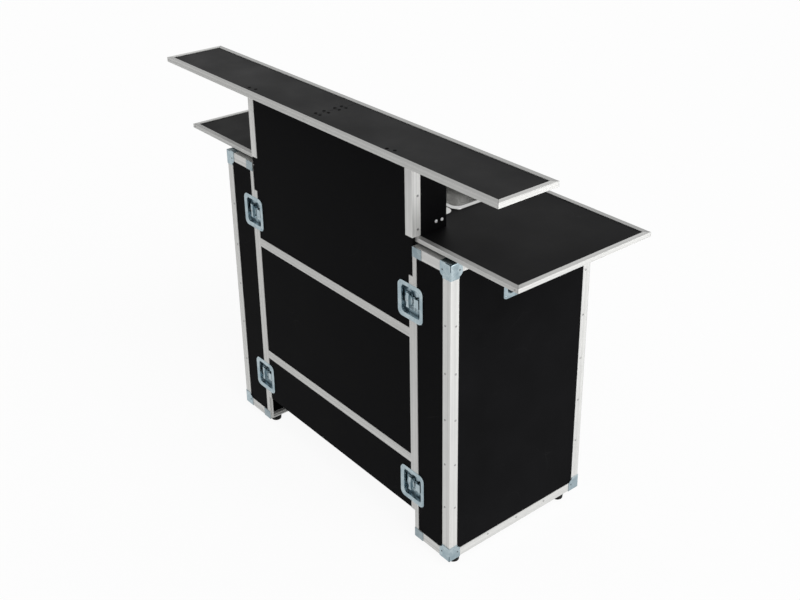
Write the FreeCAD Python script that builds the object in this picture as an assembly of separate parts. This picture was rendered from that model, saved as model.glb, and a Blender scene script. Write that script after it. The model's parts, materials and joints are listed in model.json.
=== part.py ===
import FreeCAD, Part
import os
from math import cos, radians, sin

# Portable bar that packs into one flight case. The two open case halves stand apart as pedestals.
# A front panel is latched between them, a worktop lies across them and a raised bar top stands on
# the panel and two support boards. X runs along the bar, Y from the guests' side to the server's
# side, Z up from the floor.

V = FreeCAD.Vector

# Case halves: boards, aluminium edges, zinc corners and feet
CASE_HEIGHT = 900.0
CASE_DEPTH = 505.0
HALF_WIDTH = 143.0
BOARD = 9.0
EDGE_LEG = 28.0
EDGE_WALL = 1.5
EDGE_ROUND = 2.0
BRACE_WALL = 1.5
BRACE_REACH = 38.0
BRACE_UPRIGHT = 43.0
BRACE_ROUND = 12.0
BRACE_STEP = 6.0
BRACE_EDGE_ROUND = 3.0
PLATE_WALL = 1.2
PLATE_LENGTH = 34.0
FOOT_HEIGHT = 25.0
FOOT_RADIUS = 18.0
FOOT_TAPER = 2.0
FOOT_BORE = 8.0
FOOT_FLOOR = 8.0
FOOT_BEVEL = 2.0
FOOT_INSET = 25.0
FOOT_FROM_FRONT = 37.0
FOOT_FROM_BACK = 58.0

# Closing profile: a tongue on one half fits a groove on the other
CLOSING_FACE = 15.0
CLOSING_LIP = 14.0
CLOSING_SEAT = 8.0
TONGUE_WIDTH = 4.4
TONGUE_HEIGHT = 6.0
TONGUE_DRAFT = 0.5
TONGUE_CLEARANCE = 0.3

# Front panel, upper board and its angles
PANEL_WIDTH = 735.0
PANEL_INSET = 86.0
END_FIELD = 154.0
STRIP_HEIGHT = 27.0
UPPER_LEG = 27.0

# Worktop and pans
WORKTOP_LENGTH = 1454.0
WORKTOP_DEPTH = 460.0
WORKTOP_GAP = 9.0
TOP_LIP = 14.0
SEAM_GAP = 1.0
BATTEN_WIDTH = 25.0
BATTEN_SETBACK = 3.0
BATTEN_END = 40.0
PAN_LENGTH = 265.0
PAN_WIDTH = 162.0
PAN_DEPTH = 100.0
PAN_WALL = 1.0
PAN_RIM = 12.0
RIM_HEIGHT = 3.0
RIM_ROUND = 1.2
PAN_CORNER = 24.0
PAN_TAPER = 10.0
PAN_FLOOR_ROUND = 12.0
PAN_SPACE = 3.0
PAN_CLEARANCE = 1.5

# Bar top with its hinges and stops
BAR_LENGTH = 1452.0
BAR_DEPTH = 187.0
BAR_OVERHANG = 57.0
BAR_RISE = 238.0
BAR_BOARD = 11.0
SUPPORT_CLEARANCE = 3.0
NOTCH_ROOM = 6.0
LEAF_WIDTH = 24.0
LEAF_LENGTH = 38.0
LEAF_WALL = 1.5
KNUCKLE_RADIUS = 3.0
PIN_RADIUS = 1.5
BAR_HINGE_FROM_FRONT = 59.0
BAR_HINGE_SPACING = 59.0
WORKTOP_HINGE_INSET = 80.0
STOP_LENGTH = 55.0
STOP_DROP = 25.0
STOP_WALL = 1.5

# Butterfly latches
LATCH_HEIGHT = 104.0
LATCH_BODY = 60.0
KEEPER_BODY = 38.0
DISH_FLANGE = 13.0
FLANGE_WALL = 1.5
DISH_WALL = 1.2
DISH_ROUND = 17.0
RIM_BEVEL = 1.0
MOUTH_BEVEL = 2.2
POCKET_DEPTH = 12.0
POCKET_ROUND = 11.0
KEY_SETBACK = 24.0
KEY_RADIUS = 21.0
KEY_END_ANGLE = 16.0
KEY_WAIST = 3.0
KEY_RECESS = 0.5
DISC_RADIUS = 15.0
DISC_WALL = 2.8
POST_RADIUS = 3.0
POST_HEIGHT = 5.0
CAM_RADIUS = 10.0
CAM_OFFSET = 3.0
CAM_PLAY = 1.0
HOOK_WALL = 2.5
HOOK_FRAME = 5.0
HOOK_HALF_WIDTH = 12.0
HOOK_REACH = 16.0
HOOK_RAISE = 5.2
HOOK_CATCH = 3.0
KEEPER_WALL = 2.2
KEEPER_HALF_WIDTH = 16.0

# Recessed spring handles
HANDLE_WIDTH = 142.0
HANDLE_HEIGHT = 104.0
HANDLE_DROP = 55.0
HANDLE_FLANGE = 14.0
HANDLE_DEPTH = 16.0
HANDLE_ROUND = 10.0
BAIL_RADIUS = 4.0
BAIL_BEND = 7.0
BAIL_INSET = 7.0
BAIL_LENGTH = 46.0
PIVOT_DROP = 11.0
GRIP_RADIUS = 6.0
GRIP_LENGTH = 74.0

# Clearances
RUN_GAP = 0.3
SEAT_GAP = 0.2
CUT_GAP = 0.5
EDGING_FIT = 0.1
TINY = 1e-6

# Derived places
MOULD = BOARD + 2 * EDGE_WALL
X_IN = PANEL_WIDTH / 2
X_OUT = X_IN + HALF_WIDTH
FRONT = -(CASE_DEPTH + BRACE_WALL - BAR_OVERHANG) / 2
BACK = FRONT + CASE_DEPTH
BOTTOM = FOOT_HEIGHT
TOP = BOTTOM + CASE_HEIGHT
BOARD_BACK = FRONT + EDGE_WALL + BOARD
PANEL_LOW = BOTTOM + PANEL_INSET
PANEL_HIGH = TOP - PANEL_INSET
STRIP_LEVELS = (PANEL_LOW + END_FIELD + STRIP_HEIGHT / 2, PANEL_HIGH - END_FIELD - STRIP_HEIGHT / 2)
LATCH_LEVELS = (PANEL_LOW + END_FIELD / 2, PANEL_HIGH - END_FIELD / 2)
WORKTOP_LOW = TOP + WORKTOP_GAP
WORKTOP_FACE = WORKTOP_LOW + EDGE_WALL + BOARD
WORKTOP_HIGH = WORKTOP_LOW + MOULD
WORKTOP_BACK = BOARD_BACK + WORKTOP_DEPTH
BAR_LOW = TOP + BAR_RISE
BAR_SEAT = BAR_LOW + EDGE_WALL - SEAT_GAP
BAR_FRONT = FRONT - BAR_OVERHANG
BAR_BACK = BAR_FRONT + BAR_DEPTH
SUPPORT_BACK = BAR_BACK - TOP_LIP - SUPPORT_CLEARANCE
HOOK_TRAVEL = 2 * CAM_OFFSET


# Basic shapes
def box(x, y, z):
    """Box between pairs of limits along each axis."""
    size = (x[1] - x[0], y[1] - y[0], z[1] - z[0])
    return Part.makeBox(*size, V(x[0], y[0], z[0]))


def prism(points, run):
    """Straight prism on a closed polygon."""
    return Part.Face(Part.makePolygon(points + points[:1])).extrude(run)


def tube(centre, radius, run):
    """Round bar from a centre along a run."""
    return Part.makeCylinder(radius, run.Length, centre, run)


def outline(x, y, z, radii):
    """Rectangle at one level, with a radius for each corner, counted from the lowest x and y."""
    corners = [(x[0], y[0]), (x[1], y[0]), (x[1], y[1]), (x[0], y[1])]
    ways = [(1, 0), (0, 1), (-1, 0), (0, -1)]
    edges = []
    last = None
    for index in range(5):
        corner = V(*corners[index % 4], z)
        radius = radii[index % 4]
        along_in = V(*ways[index % 4 - 1], 0)
        along_out = V(*ways[index % 4], 0)
        start = corner - along_in * radius
        end = corner + along_out * radius
        if last is not None:
            edges.append(Part.makeLine(last, start))
        if radius > 0 and index < 4:
            middle = corner + (along_out - along_in) * (radius * (1 - cos(radians(45))))
            edges.append(Part.Arc(start, middle, end).toShape())
        last = end
        if index == 0 and radius > 0:
            edges = edges[-1:]
    return Part.Wire(Part.__sortEdges__(edges))


def slab(x, y, z, radii):
    """Plate with rounded corners between two levels."""
    return Part.Face(outline(x, y, z[0], radii)).extrude(V(0, 0, z[1] - z[0]))


def edges_at(shape, level):
    """Edges that lie at one level, but not those on the plane where two halves meet."""
    found = []
    for edge in shape.Edges:
        at_level = all(abs(v.Z - level) < TINY for v in edge.Vertexes)
        on_plane = all(abs(v.X) < TINY for v in edge.Vertexes)
        if at_level and not on_plane:
            found.append(edge)
    return found


def mirrored(shape):
    """The same piece on the other end of the bar."""
    return shape.mirror(V(0, 0, 0), V(1, 0, 0))


def save(name, shapes):
    """Write one node, made of one or more separate solids."""
    solids = [solid for shape in shapes for solid in shape.Solids]
    Part.makeCompound(solids).exportStep("parts/%s.step" % name)


def on_front(shape, x, z):
    """Set a piece drawn flat, facing up, against the guests' side."""
    turned = FreeCAD.Rotation(V(1, 0, 0), 90)
    placed = shape.copy()
    placed.Placement = FreeCAD.Placement(V(x, FRONT, z), turned).multiply(shape.Placement)
    return placed


def on_back(shape, x, z):
    """Set a piece drawn flat, facing up, against the server's side."""
    turned = FreeCAD.Rotation(V(1, 0, 0), -90)
    placed = shape.copy()
    placed.Placement = FreeCAD.Placement(V(x, BACK, z), turned).multiply(shape.Placement)
    return placed


# Butterfly latch, drawn with the closing plane at x = 0 and the closing face at z = 0
FLOOR_LEVEL = -POCKET_DEPTH
HOOK_LEVEL = FLOOR_LEVEL + RUN_GAP
DISC_LEVEL = HOOK_LEVEL + HOOK_WALL + RUN_GAP
WING_LEVEL = DISC_LEVEL + DISC_WALL
POCKET_HALF = LATCH_HEIGHT / 2 - DISH_FLANGE


def half_dish(reach):
    """Pressed half dish, from the closing plane back to x = -reach, open towards its partner."""
    half = LATCH_HEIGHT / 2
    plate_radii = (DISH_ROUND, 0, 0, DISH_ROUND)
    pocket_radii = (POCKET_ROUND, 0, 0, POCKET_ROUND)
    outer_radii = (POCKET_ROUND + DISH_WALL, 0, 0, POCKET_ROUND + DISH_WALL)
    inner = reach - DISH_FLANGE
    outer = inner + DISH_WALL
    flange = slab((-reach, 0), (-half, half), (-EDGE_WALL, FLANGE_WALL), plate_radii)
    flange = flange.cut(box((-CLOSING_FACE, 0), (-half, half), (-EDGE_WALL, 0)))
    half_outer = POCKET_HALF + DISH_WALL
    walls = slab((-outer, 0), (-half_outer, half_outer), (FLOOR_LEVEL - DISH_WALL, 0), outer_radii)
    hollow = slab((-inner, 0), (-POCKET_HALF, POCKET_HALF), (FLOOR_LEVEL, FLANGE_WALL), pocket_radii)
    dish = flange.fuse(walls).cut(hollow).removeSplitter()
    rim = []
    mouth = []
    for edge in edges_at(dish, FLANGE_WALL):
        in_pocket = all(abs(v.Y) < POCKET_HALF + TINY and v.X > -inner - TINY for v in edge.Vertexes)
        (mouth if in_pocket else rim).append(edge)
    return dish.makeChamfer(MOUTH_BEVEL, mouth).makeChamfer(RIM_BEVEL, rim)


def dish_cutout(reach):
    """Room for a half dish in the boards and profiles behind it."""
    outer = reach - DISH_FLANGE + DISH_WALL + CUT_GAP
    half = POCKET_HALF + DISH_WALL + CUT_GAP
    radius = POCKET_ROUND + DISH_WALL
    depth = (FLOOR_LEVEL - DISH_WALL - CUT_GAP, FLANGE_WALL)
    return slab((-outer, TONGUE_HEIGHT + CUT_GAP), (-half, half), depth, (radius, 0, 0, radius))


def latch_dish():
    """Half dish with the post that the key turns on."""
    post = tube(V(-KEY_SETBACK, 0, FLOOR_LEVEL), POST_RADIUS, V(0, 0, POST_HEIGHT))
    return half_dish(LATCH_BODY).fuse(post)


def keeper_dish():
    """Half dish with the upright bar that the hook catches."""
    catch = HOOK_REACH - HOOK_WALL - RUN_GAP
    height = (FLOOR_LEVEL, HOOK_LEVEL + HOOK_RAISE - CUT_GAP)
    bar = box((catch - KEEPER_WALL, catch), (-KEEPER_HALF_WIDTH, KEEPER_HALF_WIDTH), height)
    return mirrored(half_dish(KEEPER_BODY)).fuse(bar)


def latch_key():
    """Butterfly wings on a disc, with the cam that drives the hook below it."""
    axis = V(-KEY_SETBACK, 0, 0)
    end_x = KEY_RADIUS * sin(radians(KEY_END_ANGLE))
    end_y = KEY_RADIUS * cos(radians(KEY_END_ANGLE))
    corners = [V(end_x, end_y, 0), V(-end_x, end_y, 0), V(-end_x, -end_y, 0), V(end_x, -end_y, 0)]
    bulges = [V(0, KEY_RADIUS, 0), V(-KEY_WAIST, 0, 0), V(0, -KEY_RADIUS, 0), V(KEY_WAIST, 0, 0)]
    edges = [Part.Arc(corners[n], bulges[n], corners[(n + 1) % 4]).toShape() for n in range(4)]
    wings = Part.Face(Part.Wire(edges)).extrude(V(0, 0, -KEY_RECESS - WING_LEVEL))
    wings = wings.makeChamfer(RIM_BEVEL, edges_at(wings, -KEY_RECESS - WING_LEVEL))
    wings.translate(axis + V(0, 0, WING_LEVEL))
    disc = tube(axis + V(0, 0, DISC_LEVEL), DISC_RADIUS, V(0, 0, DISC_WALL))
    cam = tube(axis + V(-CAM_OFFSET, 0, HOOK_LEVEL), CAM_RADIUS, V(0, 0, DISC_LEVEL - HOOK_LEVEL))
    bore_height = V(0, 0, POST_HEIGHT)
    bore = tube(axis + V(0, 0, HOOK_LEVEL), POST_RADIUS + RUN_GAP, bore_height)
    return wings.fuse([disc, cam]).cut(bore).removeSplitter()


def latch_hook():
    """Yoke round the cam, with a blade that steps up over the keeper bar and turns down behind it."""
    centre = -KEY_SETBACK - CAM_OFFSET
    window_x = CAM_RADIUS + CAM_PLAY
    window_y = CAM_RADIUS + CAM_OFFSET + CUT_GAP
    level = (HOOK_LEVEL, HOOK_LEVEL + HOOK_WALL)
    frame_x = (centre - window_x - HOOK_FRAME, centre + window_x + HOOK_FRAME)
    frame_y = (-window_y - HOOK_FRAME, window_y + HOOK_FRAME)
    yoke = slab(frame_x, frame_y, level, (HOOK_FRAME,) * 4)
    window = box((centre - window_x, centre + window_x), (-window_y, window_y), level)
    step = KEY_RADIUS - KEY_SETBACK + 2 * CUT_GAP
    raised = HOOK_LEVEL + HOOK_RAISE
    side = [
        (frame_x[1] - HOOK_FRAME, level[0]), (step + HOOK_WALL, level[0]), (step + HOOK_WALL, raised),
        (HOOK_REACH - HOOK_WALL, raised), (HOOK_REACH - HOOK_WALL, raised - HOOK_CATCH),
        (HOOK_REACH, raised - HOOK_CATCH), (HOOK_REACH, raised + HOOK_WALL), (step, raised + HOOK_WALL),
        (step, level[1]), (frame_x[1] - HOOK_FRAME, level[1]),
    ]
    points = [V(x, -HOOK_HALF_WIDTH, z) for x, z in side]
    blade = prism(points, V(0, 2 * HOOK_HALF_WIDTH, 0))
    return yoke.cut(window).fuse(blade).removeSplitter()


# Pedestals, drawn for the right end
def tongue_profile():
    """Section of the closing profile with the tongue: from the closing plane, from the outer face."""
    middle = MOULD / 2
    base = TONGUE_WIDTH / 2
    tip = base - TONGUE_DRAFT
    rim = [(-TONGUE_HEIGHT, middle + tip), (-TONGUE_HEIGHT, middle - tip), (0, middle - base)]
    return seat_profile() + [(0, middle + base)] + rim


def groove_profile():
    """Section of the closing profile with the groove that takes the tongue."""
    middle = MOULD / 2
    half = TONGUE_WIDTH / 2 + TONGUE_CLEARANCE
    depth = TONGUE_HEIGHT + TONGUE_CLEARANCE
    rim = [(depth, middle + half), (depth, middle - half), (0, middle - half)]
    return seat_profile() + [(0, middle + half)] + rim


def seat_profile():
    """The side of the closing profile that grips the board."""
    inside = MOULD - EDGE_WALL
    face = [(0, 0), (CLOSING_FACE, 0), (CLOSING_FACE, EDGE_WALL), (CLOSING_SEAT, EDGE_WALL)]
    lip = [(CLOSING_SEAT, inside), (CLOSING_LIP, inside), (CLOSING_LIP, MOULD), (0, MOULD)]
    return face + lip


def closing_bars(profile):
    """Four mitred bars round the open side of a pedestal: front, back, bottom and top."""
    reach = (X_IN - TONGUE_HEIGHT, X_IN + CLOSING_FACE)
    across = V(reach[1] - reach[0], 0, 0)
    near = (FRONT, FRONT + MOULD, BACK - MOULD, BACK)
    level = (BOTTOM, BOTTOM + MOULD, TOP - MOULD, TOP)
    upright = V(0, 0, CASE_HEIGHT)
    deep = V(0, CASE_DEPTH, 0)
    front = prism([V(X_IN + u, FRONT + d, BOTTOM) for u, d in profile], upright)
    back = prism([V(X_IN + u, BACK - d, BOTTOM) for u, d in profile], upright)
    bottom = prism([V(X_IN + u, FRONT, BOTTOM + d) for u, d in profile], deep)
    top = prism([V(X_IN + u, FRONT, TOP - d) for u, d in profile], deep)
    mitres = [
        [(near[0], level[0]), (near[1], level[1]), (near[1], level[2]), (near[0], level[3])],
        [(near[3], level[0]), (near[2], level[1]), (near[2], level[2]), (near[3], level[3])],
        [(near[0], level[0]), (near[1], level[1]), (near[2], level[1]), (near[3], level[0])],
        [(near[0], level[3]), (near[1], level[2]), (near[2], level[2]), (near[3], level[3])],
    ]
    cutters = [prism([V(reach[0], y, z) for y, z in mitre], across) for mitre in mitres]
    return [bar.common(cutter) for bar, cutter in zip((front, back, bottom, top), cutters)]


def pedestal_boards():
    """The five plywood boards of a case half, by name."""
    inner = X_IN + CLOSING_SEAT
    side_face = X_OUT - EDGE_WALL
    width = (inner, side_face - BOARD)
    depth = (FRONT + EDGE_WALL, BACK - EDGE_WALL)
    height = (BOTTOM + EDGE_WALL, TOP - EDGE_WALL)
    between = (height[0] + BOARD, height[1] - BOARD)
    return {
        "side_board": box((side_face - BOARD, side_face), depth, height),
        "front_board": box(width, (depth[0], depth[0] + BOARD), between),
        "back_board": box(width, (depth[1] - BOARD, depth[1]), between),
        "bottom_board": box(width, depth, (height[0], height[0] + BOARD)),
        "top_board": box(width, depth, (height[1] - BOARD, height[1])),
    }


def angle_bar(corner, leg_p, leg_q, run):
    """Extruded angle with a rounded outer corner."""
    def at(p, q):
        return corner + leg_p * p + leg_q * q
    path = [
        (EDGE_ROUND, 0), (EDGE_LEG, 0), (EDGE_LEG, EDGE_WALL), (EDGE_WALL, EDGE_WALL),
        (EDGE_WALL, EDGE_LEG), (0, EDGE_LEG), (0, EDGE_ROUND),
    ]
    points = [at(p, q) for p, q in path]
    edges = [Part.makeLine(a, b) for a, b in zip(points, points[1:])]
    bulge = EDGE_ROUND * (1 - cos(radians(45)))
    edges.append(Part.Arc(points[-1], at(bulge, bulge), points[0]).toShape())
    return Part.Face(Part.Wire(edges)).extrude(run)


def edge_angles():
    """Eight angles on the outer edges of a case half."""
    inward = V(-1, 0, 0)
    bars = []
    for y, way in ((FRONT, V(0, 1, 0)), (BACK, V(0, -1, 0))):
        bars.append(angle_bar(V(X_OUT, y, BOTTOM), inward, way, V(0, 0, CASE_HEIGHT)))
    for z, way in ((BOTTOM, V(0, 0, 1)), (TOP, V(0, 0, -1))):
        deep = V(0, CASE_DEPTH - 2 * EDGE_LEG, 0)
        bars.append(angle_bar(V(X_OUT, FRONT + EDGE_LEG, z), inward, way, deep))
        wide = V(HALF_WIDTH - CLOSING_FACE - EDGE_LEG, 0, 0)
        for y, along in ((FRONT, V(0, 1, 0)), (BACK, V(0, -1, 0))):
            bars.append(angle_bar(V(X_IN + CLOSING_FACE, y, z), along, way, wide))
    return bars


def corner_brace():
    """Pressed three-way corner over the outside of a box corner at the origin."""
    size = max(BRACE_REACH, BRACE_UPRIGHT)
    block = box((-BRACE_WALL, size), (-BRACE_WALL, size), (-BRACE_WALL, size))
    apex = V(-BRACE_WALL, -BRACE_WALL, -BRACE_WALL)
    rims = [edge for edge in block.Edges if any(v.Point.isEqual(apex, TINY) for v in edge.Vertexes)]
    shell = block.makeFillet(BRACE_EDGE_ROUND, rims).cut(box((0, size), (0, size), (0, size)))
    reach = (-BRACE_WALL, BRACE_REACH)
    ear = (-BRACE_WALL, BRACE_UPRIGHT - BRACE_STEP)
    leg = (-BRACE_WALL, EDGE_LEG)
    rise = (-BRACE_WALL, BRACE_UPRIGHT)
    wall = (-BRACE_WALL, 0)
    rounded = (0, 0, BRACE_ROUND, 0)
    flat = slab(reach, reach, wall, rounded)
    upright_plate = slab(reach, ear, wall, rounded).fuse(box(leg, rise, wall))
    front = upright_plate.copy()
    front.rotate(V(0, 0, 0), V(1, 0, 0), 90)
    front = front.mirror(V(0, 0, 0), V(0, 1, 0))
    side = front.mirror(V(0, 0, 0), V(1, -1, 0))
    lobes = [shell.common(flat), shell.common(front), shell.common(side)]
    return lobes[0].fuse(lobes[1:]).removeSplitter()


def corner_braces():
    """Braces on the four outer corners of a case half."""
    braces = []
    for z, down in ((BOTTOM, False), (TOP, True)):
        for y, turned in ((FRONT, False), (BACK, True)):
            brace = corner_brace().mirror(V(0, 0, 0), V(1, 0, 0))
            if turned:
                brace = brace.mirror(V(0, 0, 0), V(0, 1, 0))
            if down:
                brace = brace.mirror(V(0, 0, 0), V(0, 0, 1))
            brace.translate(V(X_OUT, y, z))
            braces.append(brace)
    return braces


def closing_plates():
    """Flat plates that join the closing profile and the edge angles at the four closing corners."""
    length = (X_IN, X_IN + PLATE_LENGTH)
    plates = []
    for height in ((BOTTOM, BOTTOM + EDGE_LEG), (TOP - EDGE_LEG, TOP)):
        for depth in ((FRONT - PLATE_WALL, FRONT), (BACK, BACK + PLATE_WALL)):
            plates.append(box(length, depth, height))
    return plates


def feet():
    """Four tapered rubber feet under a case half, each with a screw well, fitted round the braces."""
    braces = corner_braces()
    made = []
    for x in (X_IN + FOOT_INSET, X_OUT - FOOT_INSET):
        for y in (FRONT + FOOT_FROM_FRONT, BACK - FOOT_FROM_BACK):
            cone = Part.makeCone(FOOT_RADIUS - FOOT_TAPER, FOOT_RADIUS, FOOT_HEIGHT, V(x, y, 0))
            well = tube(V(x, y, 0), FOOT_BORE, V(0, 0, FOOT_HEIGHT - FOOT_FLOOR))
            made.append(cone.makeChamfer(FOOT_BEVEL, edges_at(cone, 0)).cut([well] + braces))
    return made


# Spring handle, drawn facing up with its middle at the origin, y towards the top of the case
POCKET_WIDE = HANDLE_WIDTH / 2 - HANDLE_FLANGE
POCKET_TALL = HANDLE_HEIGHT / 2 - HANDLE_FLANGE
PIVOT_Y = POCKET_TALL - PIVOT_DROP
PIVOT_Z = EDGE_WALL - HANDLE_DEPTH / 2
HANDLE_LEVEL = TOP - HANDLE_DROP - HANDLE_HEIGHT / 2
HANDLE_Y = (FRONT + BACK) / 2


def on_side(shape):
    """Set a piece drawn facing up against the face of the side board."""
    turned = FreeCAD.Rotation(V(0, 1, 0), V(0, 0, 1), V(1, 0, 0), "ZXY")
    placed = shape.copy()
    seat = V(X_OUT - EDGE_WALL, HANDLE_Y, HANDLE_LEVEL)
    placed.Placement = FreeCAD.Placement(seat, turned).multiply(shape.Placement)
    return placed


def handle_pocket(grow, depth):
    """Space of the handle's recess, grown outward by a wall or a gap."""
    wide = POCKET_WIDE + grow
    tall = POCKET_TALL + grow
    return slab((-wide, wide), (-tall, tall), depth, (HANDLE_ROUND + grow,) * 4)


def handle_dish():
    """Pressed dish with holes for the bail's two pins."""
    half = (HANDLE_WIDTH / 2, HANDLE_HEIGHT / 2)
    flange = slab((-half[0], half[0]), (-half[1], half[1]), (0, EDGE_WALL), (HANDLE_ROUND,) * 4)
    floor = EDGE_WALL - HANDLE_DEPTH
    dish = flange.fuse(handle_pocket(DISH_WALL, (floor - DISH_WALL, 0)))
    dish = dish.cut(handle_pocket(0, (floor, EDGE_WALL)))
    pin_hole = tube(V(-HANDLE_WIDTH / 2, PIVOT_Y, PIVOT_Z), BAIL_RADIUS + RUN_GAP, V(HANDLE_WIDTH, 0, 0))
    dish = dish.cut(pin_hole).removeSplitter()
    return dish.makeChamfer(RIM_BEVEL, edges_at(dish, EDGE_WALL))


def handle_bail():
    """Bent rod with a thicker grip, hanging down from its pins."""
    arm = POCKET_WIDE - BAIL_INSET
    pin_end = POCKET_WIDE + DISH_WALL
    low = PIVOT_Y - BAIL_LENGTH
    left = [(-pin_end, PIVOT_Y), (-arm, PIVOT_Y), (-arm, low)]
    right = [(arm, low), (arm, PIVOT_Y), (pin_end, PIVOT_Y)]
    path = bent_path([V(x, y, PIVOT_Z) for x, y in left + right], BAIL_BEND)
    section = Part.Wire(Part.makeCircle(BAIL_RADIUS, V(-pin_end, PIVOT_Y, PIVOT_Z), V(1, 0, 0)))
    rod = path.makePipeShell([section], True, True)
    grip = tube(V(-GRIP_LENGTH / 2, low, PIVOT_Z), GRIP_RADIUS, V(GRIP_LENGTH, 0, 0))
    return rod.fuse(grip)


def bent_path(stops, radius):
    """Straight runs joined by quarter bends."""
    edges = []
    last = stops[0]
    for before, corner, after in zip(stops, stops[1:], stops[2:]):
        back = (before - corner).normalize()
        ahead = (after - corner).normalize()
        start = corner + back * radius
        end = corner + ahead * radius
        middle = corner + (back + ahead) * (radius * (1 - cos(radians(45))))
        if not last.isEqual(start, TINY):
            edges.append(Part.makeLine(last, start))
        edges.append(Part.Arc(start, middle, end).toShape())
        last = end
    edges.append(Part.makeLine(last, stops[-1]))
    return Part.Wire(edges)


# Front panel and upper board
def panel_boards():
    """Lower, middle and upper boards, held apart by the webs of the two strips."""
    depth = (FRONT + EDGE_WALL, BOARD_BACK)
    half = X_IN - CLOSING_SEAT
    web = EDGE_WALL / 2
    low, high = STRIP_LEVELS
    wide = X_IN - EDGE_WALL
    upper = box((-half, half), depth, (high + web, BAR_SEAT))
    upper = upper.fuse(box((-wide, wide), depth, (PANEL_HIGH + CUT_GAP, BAR_SEAT))).removeSplitter()
    notch_half = LEAF_WIDTH + CUT_GAP
    notch = box((-notch_half, notch_half), depth, (BAR_LOW - KNUCKLE_RADIUS - NOTCH_ROOM, BAR_SEAT))
    groove = TONGUE_WIDTH / 2 + TONGUE_CLEARANCE
    middle = MOULD / 2
    tongue_x = (-X_IN, -X_IN + TONGUE_HEIGHT + TONGUE_CLEARANCE)
    upright = box(tongue_x, (FRONT + middle - groove, FRONT + middle + groove), (PANEL_HIGH, TOP))
    level = box(tongue_x, depth, (TOP - middle - groove, TOP - middle + groove))
    return {
        "panel_lower_board": box((-half, half), depth, (PANEL_LOW, low - web)),
        "panel_middle_board": box((-half, half), depth, (low + web, high - web)),
        "upper_board": upper.cut([notch, upright, level]),
    }


def panel_strips():
    """Two aluminium strips of H section that join the panel's boards."""
    half = X_IN - CLOSING_FACE
    width = (-half, half)
    strips = []
    for level in STRIP_LEVELS:
        tall = (level - STRIP_HEIGHT / 2, level + STRIP_HEIGHT / 2)
        face = box(width, (FRONT, FRONT + EDGE_WALL), tall)
        rear_half = X_IN - CLOSING_LIP - CUT_GAP
        rear = box((-rear_half, rear_half), (BOARD_BACK, FRONT + MOULD), tall)
        web = box(width, (FRONT + EDGE_WALL, BOARD_BACK), (level - EDGE_WALL / 2, level + EDGE_WALL / 2))
        strips.append(face.fuse([rear, web]).removeSplitter())
    return strips


def panel_edge(profile):
    """Closing profile on the panel's right edge."""
    points = [V(X_IN - u, FRONT + d, PANEL_LOW) for u, d in profile]
    return prism(points, V(0, 0, PANEL_HIGH - PANEL_LOW))


def upper_angle():
    """Angle over the upper board's right edge and the support board."""
    corners = [
        (0, 0), (UPPER_LEG, 0), (UPPER_LEG, EDGE_WALL), (EDGE_WALL, EDGE_WALL),
        (EDGE_WALL, UPPER_LEG), (0, UPPER_LEG),
    ]
    points = [V(X_IN - p, FRONT + q, WORKTOP_HIGH) for p, q in corners]
    return prism(points, V(0, 0, BAR_SEAT - WORKTOP_HIGH))


def support_board():
    """Upright board that carries the bar top behind the upper board's right edge."""
    face = X_IN - EDGE_WALL
    front_lip = BOARD_BACK + TOP_LIP
    board = box((face - BOARD, face), (BOARD_BACK, SUPPORT_BACK), (WORKTOP_FACE, BAR_SEAT))
    return board.cut(box((face - BOARD, face), (BOARD_BACK, front_lip), (WORKTOP_FACE, WORKTOP_HIGH)))


# Worktop and bar top
def top_board(half_length, y, low, thickness):
    """Right half of a top's board, with a fit inside the channels of its edging."""
    inset = EDGE_WALL + EDGING_FIT
    depth = (y[0] + inset, y[1] - inset)
    level = (low + inset, low + EDGE_WALL + thickness - EDGING_FIT)
    return box((SEAM_GAP / 2, half_length - inset), depth, level)


def channel_profile(thickness):
    """Section of the edging channel: from its outer face, from its underside."""
    inside = EDGE_WALL + thickness
    height = inside + EDGE_WALL
    lower = [(0, 0), (TOP_LIP, 0), (TOP_LIP, EDGE_WALL), (EDGE_WALL, EDGE_WALL)]
    upper = [(EDGE_WALL, inside), (TOP_LIP, inside), (TOP_LIP, height), (0, height)]
    return lower + upper


def top_edging(half_length, y, low, thickness):
    """Three mitred lengths of channel round the right half of a top: front, end and back."""
    profile = channel_profile(thickness)
    near = SEAM_GAP / 2
    along = V(half_length - near, 0, 0)
    front = prism([V(near, y[0] + d, low + rise) for d, rise in profile], along)
    back = prism([V(near, y[1] - d, low + rise) for d, rise in profile], along)
    end = prism([V(half_length - d, y[0], low + rise) for d, rise in profile], V(0, y[1] - y[0], 0))
    past = 2 * TOP_LIP
    above = V(0, 0, thickness + 2 * past)

    def mitred(bar, corner, way, spare_x, spare_y):
        tip = V(half_length + past, corner - way * past, low - past)
        root = V(half_length - past, corner + way * past, low - past)
        spare = V(half_length + spare_x * past, corner + way * spare_y * past, low - past)
        return bar.cut(prism([tip, spare, root], above))

    front = mitred(front, y[0], 1, 1, 1)
    back = mitred(back, y[1], -1, 1, 1)
    end = mitred(mitred(end, y[0], 1, -1, -1), y[1], -1, -1, -1)
    return [front, end, back]


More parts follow.
